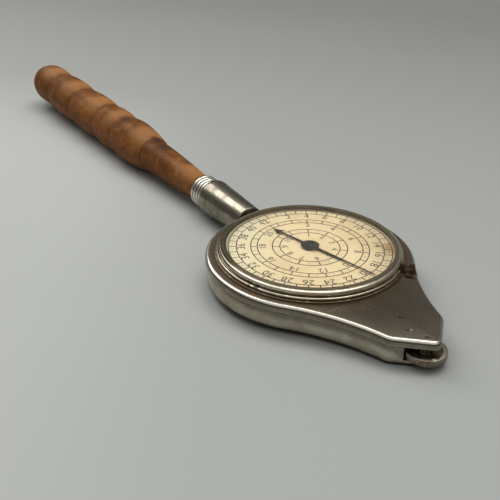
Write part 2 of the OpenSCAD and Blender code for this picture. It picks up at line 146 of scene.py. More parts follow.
def spotMask(tree, coords, ragged, at, reach, edge, core, strength):  # lengths in mm
    distance = vectorCalc(tree, "DISTANCE", coords, inMetres(at))
    distance = calc(tree, "MULTIPLY_ADD", ragged, reach * mm, distance)
    return span(tree, distance, edge * mm, core * mm, 0, strength)


def addBump(tree, shader, height, strength, distance):
    bump = tree.nodes.new("ShaderNodeBump")
    bump.inputs["Strength"].default_value = strength
    bump.inputs["Distance"].default_value = distance
    tree.links.new(height, bump.inputs["Height"])
    tree.links.new(bump.outputs["Normal"], shader.inputs["Normal"])


# Tarnished metal: cloudy tarnish, fine pits, marks at given places and bands of dirt, rubbed metal,
# painted shade and painted highlights. These values are shared by all the metals, and the table of
# metals has what differs.
wear = dict(clouds=(0.36, 0.66), dulling=(0.3, 0.7), blotchScale=4.3,
            blotches=(0.56, 0.74, 0, 0.45), grainHeight=0.3, wave=1.0, raggedScale=900,
            bandRagged=0.3, patches=(0.36, 0.6), unevenScale=2300, markRagged=2.6, markEdge=1.15,
            markCore=0.6, markRough=0.35, pitFrom=0.64, pitFull=0.76, bumpDistance=0.00005)


def bandMask(tree, coords, places, ragged, b):
    reach = b.get("ragged", wear["bandRagged"]) * mm
    wobble = calc(tree, "MULTIPLY_ADD", ragged, reach, places[b["along"]])
    mask = band(tree, wobble, *inMetres(b["edges"]))
    for axis, limits in b.get("only", {}).items():
        mask = calc(tree, "MULTIPLY", mask, band(tree, places[axis], *inMetres(limits)))
    if "patchy" in b:
        patches = noise(tree, coords, b["patchy"], detail=5, roughness=0.6, distortion=0.5)
        mask = calc(tree, "MULTIPLY", mask, span(tree, patches, *wear["patches"]))
    return calc(tree, "MULTIPLY", mask, b["strength"])


def wornMetal(name, s):
    material, tree, shader, coords = newMaterial(name)
    cloud = noise(tree, coords, s["cloudScale"], detail=6, roughness=0.6, distortion=0.4)
    grain = noise(tree, coords, s["grainScale"], detail=5, roughness=0.7)
    blotchScale = s["cloudScale"] * wear["blotchScale"]
    blotch = noise(tree, coords, blotchScale, detail=5, roughness=0.65)
    colour = blendColours(tree, span(tree, cloud, *wear["clouds"]), s["bright"], s["dull"])
    colour = blendColours(tree, span(tree, blotch, *wear["blotches"]), colour, s["dull"])
    height = calc(tree, "MULTIPLY", grain, wear["grainHeight"])
    height = calc(tree, "MULTIPLY_ADD", cloud, s.get("wave", wear["wave"]), height)
    rough = span(tree, cloud, *wear["dulling"], *s["roughness"])
    places = splitCoords(tree, coords)
    places["radius"] = radiusFrom(tree, coords)
    ragged = wander(tree, coords, wear["raggedScale"])
    for b in s.get("bands", ()):
        mask = bandMask(tree, coords, places, ragged, b)
        colour = blendColours(tree, mask, colour, b["colour"])
        if "rough" in b:
            rough = calc(tree, "MULTIPLY_ADD", mask, b["rough"], rough)
    uneven = wander(tree, coords, wear["unevenScale"], detail=3)
    for m in s.get("marks", ()):
        size, reach = m["size"], m["size"] * m.get("ragged", wear["markRagged"])
        mask = spotMask(tree, coords, uneven, m["at"], reach, size * wear["markEdge"],
                        size * wear["markCore"], m["strength"])
        colour = blendColours(tree, mask, colour, m["colour"])
        rough = calc(tree, "MULTIPLY_ADD", mask, wear["markRough"], rough)
        height = calc(tree, "MULTIPLY_ADD", mask, m["rise"], height)
    pitFrom = s.get("pitFrom", wear["pitFrom"])
    pits = span(tree, grain, pitFrom, wear["pitFull"], 0, s["pitDepth"])
    colour = blendColours(tree, pits, colour, s["dirt"])
    tree.links.new(colour, shader.inputs["Base Color"])
    tree.links.new(rough, shader.inputs["Roughness"])
    setValues(shader, Metallic=s.get("metallic", 1.0), Specular_IOR_Level=s.get("specular", 0.5))
    addBump(tree, shader, height, s["bump"], wear["bumpDistance"])
    return material


# Colours of dirt, rust and rubbed metal. Dark dirt also serves for painted shade, and rubbed metal
# and cream for painted highlights.
darkDirtAndShade = (0.030, 0.021, 0.012)
brownDirt = (0.085, 0.056, 0.030)
rust = (0.034, 0.013, 0.008)
rubbedCreamAndHighlight = (0.93, 0.86, 0.68)
rubbedAndHighlight = (0.72, 0.68, 0.60)

# Places that a band may keep to. Like a band's edges, each range is in mm: where it starts, is
# full, begins to fade and ends.
onTop = {"z": (4.5, 4.7, 5.0, 5.2)}
noseSide = {"x": (10.5, 13.5, 16.2, 16.8)}
handleSide = {"x": (-17.0, -16.5, -3.0, 3.0), "y": (-17.5, -17.0, -10.0, -4.0)}
beadGrooves = [(x - 0.24, x - 0.12, x + 0.12, x + 0.24) for x in (-34.05, -35.1, -36.1, -37.1)]

# A mark is a spot with its centre and size in mm, and rise is how high it stands in the bump
metals = {
    "cover": dict(
        bright=(0.30, 0.265, 0.21), dull=(0.20, 0.168, 0.12), dirt=(0.05, 0.036, 0.022),
        cloudScale=130, grainScale=2600, pitDepth=0.75, pitFrom=0.54, roughness=(0.19, 0.30),
        bump=0.18, wave=0.9,
        bands=[dict(along="radius", edges=(16.2, 16.7, 18.0, 24.0), colour=(0.16, 0.12, 0.075),
                    strength=0.6, ragged=3, rough=0.12, patchy=240, only=onTop),
               dict(along="radius", edges=(16.2, 16.7, 17.1, 18.3), colour=brownDirt,
                    strength=0.8, ragged=1.5, rough=0.25, only=onTop),
               # painted highlight along the rounded top edge, over rubbed metal
               dict(along="z", edges=(4.45, 4.56, 4.745, 4.78), colour=rubbedAndHighlight, strength=0.85,
                    ragged=0.03, rough=-0.06),
               # painted highlight on the rim's lower edge
               dict(along="z", edges=(3.4, 3.5, 3.60, 3.72), colour=rubbedAndHighlight, strength=0.45,
                    ragged=0.1)],
        marks=[dict(at=(23.84, -0.38, 4.8), size=0.40, colour=darkDirtAndShade, strength=0.95, rise=-1.5),
               dict(at=(24.2, 0.1, 4.8), size=0.22, colour=darkDirtAndShade, strength=0.9, rise=-1.5),
               dict(at=(27.07, -1.74, 4.8), size=0.42, colour=darkDirtAndShade, strength=0.8, rise=-1),
               dict(at=(27.3, -1.3, 4.8), size=0.25, colour=rubbedAndHighlight, strength=0.35, rise=3),
               dict(at=(29.89, -0.57, 4.8), size=0.40, colour=darkDirtAndShade, strength=0.9, rise=-1.5),
               dict(at=(30.2, -0.2, 4.8), size=0.22, colour=darkDirtAndShade, strength=0.8, rise=-1),
               dict(at=(25.0, 1.2, 4.8), size=0.22, colour=darkDirtAndShade, strength=0.65, rise=0),
               dict(at=(21.5, 5.0, 4.8), size=0.26, colour=darkDirtAndShade, strength=0.65, rise=0),
               dict(at=(22.5, -5.2, 4.8), size=0.24, colour=darkDirtAndShade, strength=0.6, rise=0),
               dict(at=(19.6, 1.0, 4.8), size=0.30, colour=darkDirtAndShade, strength=0.65, rise=0),
               dict(at=(14.3, 10.9, 4.8), size=1.9, colour=rust, strength=0.95, rise=2, ragged=1.5),
               dict(at=(16.4, 9.4, 4.8), size=0.7, colour=rust, strength=0.8, rise=1)]),
    "back": dict(
        bright=(0.50, 0.455, 0.37), dull=(0.37, 0.325, 0.25), dirt=(0.07, 0.05, 0.03),
        cloudScale=220, grainScale=3200, pitDepth=0.4, roughness=(0.26, 0.40), bump=0.2, wave=0.4,
        # painted shade on the wall just below the cover's overhanging rim
        bands=[dict(along="z", edges=(3.1, 3.35, 3.6, 3.9), colour=darkDirtAndShade, strength=0.6,
                    ragged=0.2, rough=0.1),
               # painted contact shadow along the wall's bottom edge; it also darkens the whole flat
               # base
               dict(along="z", edges=(-0.3, -0.2, 0.25, 0.7), colour=darkDirtAndShade, strength=0.95,
                    ragged=0.2, rough=0.3)]),
    "bezel": dict(
        bright=(0.56, 0.50, 0.39), dull=(0.40, 0.33, 0.225), dirt=(0.07, 0.045, 0.02),
        cloudScale=170, grainScale=2300, pitDepth=0.6, roughness=(0.15, 0.28), bump=0.3, wave=0.8,
        # painted highlight on the top of the ridge, over rubbed metal
        bands=[dict(along="z", edges=(5.95, 6.2, 6.44, 6.50), colour=rubbedCreamAndHighlight, strength=0.8,
                    ragged=0.15, patchy=90, rough=-0.03),
               # painted highlight on the bead, over rubbed metal
               dict(along="z", edges=(5.30, 5.42, 5.52, 5.56), colour=rubbedCreamAndHighlight, strength=0.7,
                    ragged=0.1, patchy=120, rough=-0.03),
               dict(along="z", edges=(5.2, 5.5, 6.35, 6.5), colour=(0.56, 0.33, 0.20),
                    strength=0.65, ragged=0.5, patchy=170, only=noseSide),
               dict(along="z", edges=(6.50, 6.55, 6.9, 7.0), colour=(0.125, 0.100, 0.064),
                    strength=0.95, rough=0.35, ragged=0.05),
               # dark line in the groove between ridge and bead: painted shade with dirt in it
               dict(along="z", edges=(5.54, 5.58, 5.72, 5.80), colour=darkDirtAndShade, strength=0.85,
                    ragged=0.1, rough=0.3),
               # painted dark reflection on the ridge and lip on the handle's side
               dict(along="z", edges=(5.7, 5.8, 6.9, 7.0), colour=(0.055, 0.044, 0.028),
                    strength=0.7, ragged=0.2, only=handleSide),
               dict(along="z", edges=(4.6, 4.7, 5.02, 5.16), colour=brownDirt, strength=0.95,
                    ragged=0.3, rough=0.3)],
        marks=[dict(at=(13.6, 9.6, 5.2), size=1.6, colour=rust, strength=0.95, rise=2, ragged=1.5),
               dict(at=(15.0, 7.4, 5.6), size=0.6, colour=rust, strength=0.7, rise=3),
               dict(at=(6.0, -15.2, 5.5), size=0.5, colour=darkDirtAndShade, strength=0.8, rise=-4),
               dict(at=(4.5, -15.6, 5.3), size=0.5, colour=darkDirtAndShade, strength=0.6, rise=-4)]),
    "ferrule": dict(
        bright=(0.33, 0.298, 0.24), dull=(0.19, 0.162, 0.12), dirt=(0.06, 0.045, 0.03),
        cloudScale=330, grainScale=2400, pitDepth=0.6, roughness=(0.20, 0.34), bump=0.3, wave=0.8,
        bands=[dict(along="x", edges=(-38.3, -38.0, -34.3, -33.9), colour=(0.86, 0.82, 0.70),
                    strength=0.85, ragged=0.3, rough=-0.08)]
        # dark lines in the grooves between the beads: painted shade with dirt in them
        + [dict(along="x", edges=edges, colour=darkDirtAndShade, strength=0.85, ragged=0.1, rough=0.2)
           for edges in beadGrooves]),
    "steel": dict(
        bright=(0.33, 0.30, 0.25), dull=(0.22, 0.19, 0.145), dirt=(0.06, 0.04, 0.02),
        cloudScale=420, grainScale=4200, pitDepth=0.6, roughness=(0.3, 0.45), bump=0.25),
    "wheel": dict(
        bright=(0.36, 0.32, 0.26), dull=(0.20, 0.165, 0.12), dirt=(0.05, 0.035, 0.02),
        cloudScale=380, grainScale=3600, pitDepth=0.7, roughness=(0.30, 0.45), bump=0.3,
        marks=[dict(at=(32.3, -0.9, 2.2), size=0.35, colour=(0.8, 0.76, 0.66), strength=0.8,
                    rise=2)]),
    "collar": dict(
        bright=(0.16, 0.12, 0.09), dull=(0.07, 0.045, 0.03), dirt=(0.03, 0.02, 0.012),
        cloudScale=500, grainScale=3000, pitDepth=0.5, roughness=(0.35, 0.5), bump=0.25),
    "crust": dict(
        bright=(0.048, 0.018, 0.009), dull=(0.020, 0.010, 0.007), dirt=(0.012, 0.008, 0.007),
        cloudScale=900, grainScale=3500, pitDepth=0.7, roughness=(0.45, 0.65), bump=0.6,
        metallic=0.0, specular=0.15),
    "cap": dict(
        bright=(0.05, 0.036, 0.024), dull=(0.012, 0.008, 0.006), dirt=(0.008, 0.006, 0.005),
        cloudScale=900, grainScale=2600, pitDepth=0.7, roughness=(0.3, 0.5), bump=0.5,
        metallic=0.5),
    "brass": dict(
        bright=(0.72, 0.52, 0.24), dull=(0.50, 0.36, 0.17), dirt=(0.16, 0.10, 0.05),
        cloudScale=300, grainScale=3000, pitDepth=0.3, roughness=(0.25, 0.4), bump=0.12),
    "nickel": dict(
        bright=(0.40, 0.37, 0.31), dull=(0.28, 0.25, 0.20), dirt=(0.06, 0.04, 0.02),
        cloudScale=250, grainScale=3000, pitDepth=0.4, roughness=(0.28, 0.4), bump=0.15),
    "ring": dict(
        bright=(0.24, 0.205, 0.15), dull=(0.15, 0.12, 0.08), dirt=(0.04, 0.03, 0.02),
        cloudScale=300, grainScale=3000, pitDepth=0.5, roughness=(0.4, 0.55), bump=0.2),
    "blackSteel": dict(
        bright=(0.040, 0.025, 0.017), dull=(0.013, 0.009, 0.007), dirt=(0.008, 0.006, 0.005),
        cloudScale=500, grainScale=3000, pitDepth=0.4, roughness=(0.4, 0.6), bump=0.2,
        metallic=0.0, specular=0.15),
}
metal = {name: wornMetal(name + "Worn", settings) for name, settings in metals.items()}

# Aged card: blotches, fibres, foxing, a browner rim and one stain. Seen from the camera it is
# cooler on the left and darker on the right.
cardSettings = dict(
    pale=(0.72, 0.58, 0.34), warm=(0.64, 0.49, 0.27), cool=(0.72, 0.665, 0.44),
    shade=(0.45, 0.35, 0.20), foxing=(0.5, 0.33, 0.13), rim=(0.55, 0.45, 0.30),
    blotchScale=160, blotches=(0.38, 0.7), across=(0.54, 0.84, 0), coolSide=(-2, -15),
    shadeSide=(7, 15), sideStrength=0.75, fibreScale=2500, fibres=(0.55, 0.75, 0, 0.2),
    foxingScale=700, foxed=(0.66, 0.78, 0, 0.5), rimRadii=(13.6, 15.1), rimStrength=0.35,
    stain=(0.30, 0.17, 0.045), stainAt=(8.3, 12.2, 5.75), stainSize=2.9, stainCore=0.35,
    stainRagged=1.8, raggedScale=800, stainStrength=0.85, roughness=0.8, bump=0.15,
    bumpDistance=0.00002)


def paperMaterial(s):
    material, tree, shader, coords = newMaterial("agedCard")
    blotches = span(tree, noise(tree, coords, s["blotchScale"], detail=5), *s["blotches"])
    colour = blendColours(tree, blotches, s["pale"], s["warm"])
    across = vectorCalc(tree, "DOT_PRODUCT", coords, s["across"])
    for side, tone in (("coolSide", "cool"), ("shadeSide", "shade")):
        share = span(tree, across, *inMetres(s[side]), 0, s["sideStrength"])
        colour = blendColours(tree, share, colour, s[tone])
    fibres = noise(tree, coords, s["fibreScale"], detail=3, roughness=0.6)
    colour = blendColours(tree, span(tree, fibres, *s["fibres"]), colour, s["warm"])
    foxing = noise(tree, coords, s["foxingScale"], detail=4, roughness=0.6)
    colour = blendColours(tree, span(tree, foxing, *s["foxed"]), colour, s["foxing"])
    radius = radiusFrom(tree, coords)
    rim = span(tree, radius, *inMetres(s["rimRadii"]), 0, s["rimStrength"])
    colour = blendColours(tree, rim, colour, s["rim"])
    stain = spotMask(tree, coords, wander(tree, coords, s["raggedScale"]), s["stainAt"],
                     s["stainRagged"], s["stainSize"], s["stainSize"] * s["stainCore"],
                     s["stainStrength"])
    colour = blendColours(tree, stain, colour, s["stain"])
    tree.links.new(colour, shader.inputs["Base Color"])
    setValues(shader, Roughness=s["roughness"])
    addBump(tree, shader, fibres, s["bump"], s["bumpDistance"])
    return material


inkSettings = dict(black=(0.012, 0.008, 0.006), faded=(0.13, 0.085, 0.05), fadeScale=1500,
                   fade=(0.5, 0.8, 0, 0.4), roughness=0.7)


def inkMaterial(s):
    material, tree, shader, coords = newMaterial("printedInk")
    fade = span(tree, noise(tree, coords, s["fadeScale"], detail=4, roughness=0.7), *s["fade"])
    colour = blendColours(tree, fade, s["black"], s["faded"])
    tree.links.new(colour, shader.inputs["Base Color"])
    setValues(shader, Roughness=s["roughness"])
    return material


# Glass: faintly smeared, and clear to shadow rays so that the dial under it is lit
glassFinish = dict(tint=(0.985, 0.985, 0.975, 1), index=1.45, smearScale=120,
                   smears=(0.45, 0.8, 0.0, 0.07))


def glassMaterial(s):
    material, tree, shader, coords = newMaterial("flatGlass")
    setValues(shader, Transmission_Weight=1.0, IOR=s["index"], Base_Color=s["tint"])
    smears = noise(tree, coords, s["smearScale"], detail=5, roughness=0.6)
    tree.links.new(span(tree, smears, *s["smears"]), shader.inputs["Roughness"])
    lightPath = tree.nodes.new("ShaderNodeLightPath")
    clear = tree.nodes.new("ShaderNodeBsdfTransparent")
    mixer = tree.nodes.new("ShaderNodeMixShader")
    output = tree.nodes["Material Output"]
    tree.links.new(lightPath.outputs["Is Shadow Ray"], mixer.inputs["Fac"])
    tree.links.new(shader.outputs[0], mixer.inputs[1])
    tree.links.new(clear.outputs[0], mixer.inputs[2])
    tree.links.new(mixer.outputs[0], output.inputs["Surface"])
    return material


# Wood: long grain and flecks. Counted from the ferrule, each bead is rubbed paler on its upper
# side just past its groove, which is partly a painted highlight, and has painted shade before the
# next one. The rubbed and shaded edges are shares of a bead's length with mm added, and the line
# lies in the groove itself.
woodSettings = dict(
    dark=(0.120, 0.040, 0.010), mid=(0.235, 0.088, 0.024), pale=(0.43, 0.200, 0.068),
    fleck=(0.36, 0.150, 0.046), groove=(0.07, 0.026, 0.010), stain=(0.055, 0.026, 0.013),
    grainScale=60, grainStretch=(0.35, 6, 6), grained=(0.3, 0.7), fineScale=300,
    fineStretch=(0.12, 3, 3), fine=(0.5, 0.7, 0, 0.5), fleckScale=420,
    darkFlecks=(0.50, 0.62, 0, 0.6), paleFlecks=(0.47, 0.36, 0, 0.6), mottleScale=140, wobble=5,
    upwards=(0.01, 0.6, 0.8), upper=(-1.5, 5), rubbedAndHighlightStrength=(0.1, 0.75), shadeStrength=0.35,
    rubbedAndHighlightEdges=((0, -0.5), (0.10, 0), (0.22, 0), (0.55, 0)),
    shadeEdges=((0.5, 0), (0.8, 0), (1, -0.4), (1, 0.2)),
    grooves=(38.1, 62.0, 78.8, 89.8, 106.6, 123.4, 141.5), line=(0.35, 0.1), lineStrength=0.6,
    stains=[dict(at=(-75.5, -1.5, 6.6), size=2.4), dict(at=(-57.0, 0.4, 5.7), size=2.6),
            dict(at=(-47.0, 1.2, 4.9), size=2.0), dict(at=(-61.5, 0.8, 5.9), size=2.2)],
    stainEdge=1.3, stainRagged=4.5, raggedScale=420, stainStrength=0.85,
    roughness=(0.3, 0.8, 0.45, 0.65), specular=0.06, bump=0.3, bumpDistance=0.0001)


def woodMaterial(s):
    material, tree, shader, coords = newMaterial("polishedWood")
    grain = noise(tree, coords, s["grainScale"], detail=6, roughness=0.6,
                  stretch=s["grainStretch"], distortion=0.6)
    fine = noise(tree, coords, s["fineScale"], roughness=0.6, stretch=s["fineStretch"])
    flecks = noise(tree, coords, s["fleckScale"], detail=5, roughness=0.7)
    colour = blendColours(tree, span(tree, grain, *s["grained"]), s["dark"], s["mid"])
    colour = blendColours(tree, span(tree, fine, *s["fine"]), colour, s["dark"])
    colour = blendColours(tree, span(tree, flecks, *s["darkFlecks"]), colour, s["dark"])
    colour = blendColours(tree, span(tree, flecks, *s["paleFlecks"]), colour, s["fleck"])
    along = calc(tree, "MULTIPLY", splitCoords(tree, coords)["x"], -1)
    mottle = wander(tree, coords, s["mottleScale"])
    wobble = calc(tree, "MULTIPLY_ADD", mottle, s["wobble"] * mm, along)
    upwards = vectorCalc(tree, "DOT_PRODUCT", coords, s["upwards"])
    # painted highlight: the rubbed paler patch keeps to the upper side of each bead
    upper = span(tree, upwards, *inMetres(s["upper"]), *s["rubbedAndHighlightStrength"])
    for start, end in zip(s["grooves"][:-1], s["grooves"][1:]):
        rubbedAndHighlightAt, shadeAt = ([start + share * (end - start) + more for share, more in s[edges]]
                             for edges in ("rubbedAndHighlightEdges", "shadeEdges"))
        mask = calc(tree, "MULTIPLY", band(tree, wobble, *inMetres(rubbedAndHighlightAt)), upper)
        colour = blendColours(tree, mask, colour, s["pale"])
        # painted shade on each bead before the next groove
        shade = band(tree, wobble, *inMetres(shadeAt))
        mask = calc(tree, "MULTIPLY", shade, s["shadeStrength"])
        colour = blendColours(tree, mask, colour, s["dark"])
    outer, inner = s["line"]
    for x in s["grooves"][:-1]:
        line = band(tree, along, *inMetres((x - outer, x - inner, x + inner, x + outer)))
        mask = calc(tree, "MULTIPLY", line, s["lineStrength"])
        colour = blendColours(tree, mask, colour, s["groove"])
    ragged = wander(tree, coords, s["raggedScale"])
    for m in s["stains"]:
        mask = spotMask(tree, coords, ragged, m["at"], s["stainRagged"],
                        m["size"] * s["stainEdge"], 0, s["stainStrength"])
        colour = blendColours(tree, mask, colour, s["stain"])
    tree.links.new(colour, shader.inputs["Base Color"])
    tree.links.new(span(tree, fine, *s["roughness"]), shader.inputs["Roughness"])
    setValues(shader, Specular_IOR_Level=s["specular"])
    addBump(tree, shader, calc(tree, "ADD", fine, flecks), s["bump"], s["bumpDistance"])
    return material


card = paperMaterial(cardSettings)
ink = inkMaterial(inkSettings)
glassClear = glassMaterial(glassFinish)
wood = woodMaterial(woodSettings)
finishes = {"nickel": metal["nickel"], "brass": metal["brass"], "steel": metal["steel"],
            "black_steel": metal["blackSteel"], "card": card, "glass": glassClear, "wood": wood}
for part in frame["record"]["subparts"]:
    mesh = nodes[part["node"]].data
    ringHere = part["node"] == "glass_ring"
    mesh.materials.clear()
    mesh.materials.append(metal["ring"] if ringHere else finishes[part["material_slot"]])
print("materials made")


# A finished mesh: doubles merged, faces outwards, soft shading with sharp edges past an angle
def finishPiece(bm, name, material, body, replaced=None, sharp=30, place=None):
    bmesh.ops.remove_doubles(bm, verts=bm.verts, dist=1e-7)
    bmesh.ops.recalc_face_normals(bm, faces=bm.faces)
    if place:
        bmesh.ops.transform(bm, matrix=place, verts=bm.verts)
    mesh = bpy.data.meshes.new(name)
    bm.to_mesh(mesh)
    bm.free()
    mesh.shade_smooth()
    mesh.set_sharp_from_angle(angle=math.radians(sharp))
    piece = bpy.data.objects.new(name, mesh)
    scene.collection.objects.link(piece)
    mesh.materials.append(material)
    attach(piece, body)
    if replaced:
        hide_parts(replaced)
    return piece


def spinProfile(bm, points, steps, closed=False):  # radius and height in mm, turned round Z
    verts = [bm.verts.new((r * mm, 0, z * mm)) for r, z in points]
    edges = [bm.edges.new(pair) for pair in zip(verts[:-1], verts[1:])]
    if closed:
        edges.append(bm.edges.new((verts[-1], verts[0])))
    bmesh.ops.spin(bm, geom=verts + edges, cent=(0, 0, 0), axis=(0, 0, 1), angle=2 * math.pi,
                   steps=steps, use_merge=True)


def turned(points, steps, closed=False):
    bm = bmesh.new()
    spinProfile(bm, points, steps, closed)
    bmesh.ops.remove_doubles(bm, verts=bm.verts, dist=1e-7)
    return bm


def arcPoints(centre, radius, start, end, count):
    turns = [math.radians(start + (end - start) * k / count) for k in range(count + 1)]
    return [(centre[0] + radius * math.cos(t), centre[1] + radius * math.sin(t)) for t in turns]


def roundEdges(bm, edges, width, segments):
    bmesh.ops.bevel(bm, geom=edges, offset=width * mm, offset_type="OFFSET", segments=segments,
                    profile=0.5, affect="EDGES", material=-1)


def addWall(piece, thickness):  # inwards, because the faces point outwards
    wall = piece.modifiers.new("wall", "SOLIDIFY")
    wall.thickness, wall.offset, wall.use_even_offset = thickness * mm, -1, True


# Outline of the case: a pointed nose, hollow flanks and a round body. Half of it is swung from
# arc to arc, and the other half mirrored.
caseShape = dict(caseR=18.6, flankR=40.5, flankAngle=49, noseX=32.02, noseAngle=48, tipR=1.3,
                 shoulderR=3, wheelX=29.52, wheelR=3.34, gap=0.25, sheet=0.5, rimInset=0.33,
                 tipSteps=5, shoulderSteps=9, flankSteps=24, bodySteps=56)


def caseMeasures(s):  # centres, directions in degrees and lengths of the outline's arcs and lines
    m = {}
    flankTurn = math.radians(s["flankAngle"])
    m["tip"] = Vector((s["noseX"] - s["tipR"], 0))
    m["flank"] = Vector((math.cos(flankTurn), math.sin(flankTurn))) * (s["caseR"] + s["flankR"])
    m["faceTurn"] = 90 - s["noseAngle"]
    face = math.radians(m["faceTurn"])
    m["normal"] = Vector((math.cos(face), math.sin(face)))
    m["along"] = Vector((-math.sin(face), math.cos(face)))
    start = m["tip"] + m["normal"] * (s["tipR"] - s["shoulderR"])
    toStart = start - m["flank"]
    b = toStart.dot(m["along"])
    c = toStart.length_squared - (s["flankR"] + s["shoulderR"]) ** 2
    m["faceLength"] = -b - math.sqrt(b * b - c)
    m["shoulder"] = start + m["along"] * m["faceLength"]
    away = m["flank"] - m["shoulder"]
    m["shoulderTurn"] = math.degrees(math.atan2(away.y, away.x))
    toWheel = Vector((s["wheelX"], 0)) - m["tip"]
    inWall = toWheel.dot(m["normal"]) - s["tipR"] + s["rimInset"] + s["sheet"]
    reach = math.sqrt((s["wheelR"] + s["gap"]) ** 2 - inWall ** 2)
    m["slotLength"] = toWheel.dot(m["along"]) + reach
    return m


measures = caseMeasures(caseShape)


def outlineLoop(bm, s, m, inset, z):
    def swing(vert, centre, turn, steps):
        made = bmesh.ops.spin(bm, geom=[vert], cent=inMetres((*centre, z)), axis=(0, 0, 1),
                              angle=math.radians(turn), steps=steps)
        return made["geom_last"][0]

    def advance(vert, length):
        made = bmesh.ops.extrude_vert_indiv(bm, verts=[vert])["verts"][0]
        made.co += Vector((*m["along"], 0)) * length * mm
        return made

    old = set(bm.edges)
    vert = bm.verts.new(((s["noseX"] - inset) * mm, 0, z * mm))
    vert = swing(vert, m["tip"], m["faceTurn"], s["tipSteps"])
    vert = advance(vert, m["slotLength"])
    vert = advance(vert, m["faceLength"] - m["slotLength"])
    vert = swing(vert, m["shoulder"], m["shoulderTurn"] - m["faceTurn"], s["shoulderSteps"])
    vert = swing(vert, m["flank"], s["flankAngle"] - m["shoulderTurn"], s["flankSteps"])
    swing(vert, Vector((0, 0)), 180 - s["flankAngle"], s["bodySteps"])
    half = [e for e in bm.edges if e not in old]
    verts = list({v for e in half for v in e.verts})
    bmesh.ops.mirror(bm, geom=verts + half, axis="Y", merge_dist=1e-6)
    return [e for e in bm.edges if e not in old]


# Back of the case: base, rounded edge and wall, open round the nose for the wheel
backSettings = dict(inset=0.33, slotZ=0.9, topZ=4.3, edgeRound=0.35, edgeSteps=4, wall=0.5)


def makeCaseBack(s):
    bm = bmesh.new()
    loop = outlineLoop(bm, caseShape, measures, s["inset"], 0)
    bmesh.ops.contextual_create(bm, geom=loop)
    for rise in (s["slotZ"], s["topZ"] - s["slotZ"]):
        made = bmesh.ops.extrude_edge_only(bm, edges=loop)["geom"]
        loop = [g for g in made if isinstance(g, bmesh.types.BMEdge)]
        verts = [g for g in made if isinstance(g, bmesh.types.BMVert)]
        bmesh.ops.translate(bm, vec=(0, 0, rise * mm), verts=verts)
        top = set(verts)
        loop = [e for e in loop if e.verts[0] in top and e.verts[1] in top]
    slotEnd = (measures["tip"] + measures["normal"] * (caseShape["tipR"] - s["inset"])
               + measures["along"] * measures["slotLength"])
    middles = {f: f.calc_center_median() for f in bm.faces}
    cut = [f for f in bm.faces if middles[f].z > s["slotZ"] * mm and middles[f].x > slotEnd.x * mm]
    bmesh.ops.delete(bm, geom=cut, context="FACES")
    base = [e for e in bm.edges if max(v.co.z for v in e.verts) < 1e-6]
    roundEdges(bm, base, s["edgeRound"], s["edgeSteps"])
    piece = finishPiece(bm, "caseBack", metal["back"], "case", "case_back", sharp=40)
    addWall(piece, s["wall"])


makeCaseBack(backSettings)

# Cover: rim, rounded edge and flat top, with the round opening under the bezel
coverSettings = dict(top=4.8, rimZ=3.5, edgeRound=0.8, steps=8, opening=15.41, wall=0.3,
                     lowerRound=0.08, lowerSteps=2, sharpAngle=50)


def makeCover(s):
    bm = bmesh.new()
    levels = [(0, s["rimZ"]), (0, s["rimZ"] + s["lowerRound"] * 2)]  # inset and height
    for k in range(s["steps"] + 1):
        turn = math.pi / 2 * k / s["steps"]
        levels.append((s["edgeRound"] * (1 - math.cos(turn)),
                       s["top"] - s["edgeRound"] * (1 - math.sin(turn))))
    loops = [outlineLoop(bm, caseShape, measures, inset, z) for inset, z in levels]
    for lower, upper in zip(loops[:-1], loops[1:]):
        bmesh.ops.bridge_loops(bm, edges=lower + upper)
    made = bmesh.ops.extrude_edge_only(bm, edges=loops[-1])["geom"]
    for vert in [g for g in made if isinstance(g, bmesh.types.BMVert)]:
        out = Vector((vert.co.x, vert.co.y, 0)).normalized() * s["opening"] * mm
        vert.co = out + Vector((0, 0, s["top"] * mm))  # drawn in to the round opening
    piece = finishPiece(bm, "caseCover", metal["cover"], "case", "case_cover", sharp=40)
    addWall(piece, s["wall"])
    edge = piece.modifiers.new("edge", "BEVEL")
    edge.width, edge.segments = s["lowerRound"] * mm, s["lowerSteps"]
    edge.limit_method, edge.angle_limit = "ANGLE", math.radians(s["sharpAngle"])


makeCover(coverSettings)
print("case made")

# Bezel: a lip over the glass, a rolled ridge, a bead and a foot, turned from one profile
bezelSettings = dict(
    lip=[(14.88, 6.56), (14.88, 6.60), (14.90, 6.625), (14.94, 6.64), (15.40, 6.64), (15.47, 6.61),
         (15.51, 6.55), (15.53, 6.47), (15.56, 6.44)],
    ridgeAt=(15.76, 6.05), ridgeR=0.42, ridgeArc=(108, -62, 16), neck=[(16.0, 5.64), (16.08, 5.56)],
    beadAt=(16.34, 5.31), beadR=0.25, beadArc=(122, -70, 12),
    foot=[(16.50, 5.03), (16.88, 5.01), (16.93, 4.97), (16.94, 4.80), (15.84, 4.80), (15.84, 5.93),
          (15.41, 5.93), (15.41, 6.56)], steps=240)


def makeBezel(s):
    points = s["lip"] + arcPoints(s["ridgeAt"], s["ridgeR"], *s["ridgeArc"]) + s["neck"]
    points += arcPoints(s["beadAt"], s["beadR"], *s["beadArc"]) + s["foot"]
    bm = turned(points, s["steps"], closed=True)
    finishPiece(bm, "bezelRing", metal["bezel"], "case", "bezel", sharp=50)


makeBezel(bezelSettings)

# Rust crust beside the bezel's foot: uneven lumps on the cover
crustSettings = dict(
    lumps=[dict(at=(14.0, 10.6, 4.9), size=(1.15, 0.85, 0.42)),
           dict(at=(15.3, 9.3, 4.85), size=(0.8, 0.6, 0.32)),
           dict(at=(13.3, 12.2, 4.85), size=(0.6, 0.45, 0.26))],
    turn=-37, subdivisions=4, uneven=0.35, grain=0.9, fractal=(0.8, 2.0, 4))


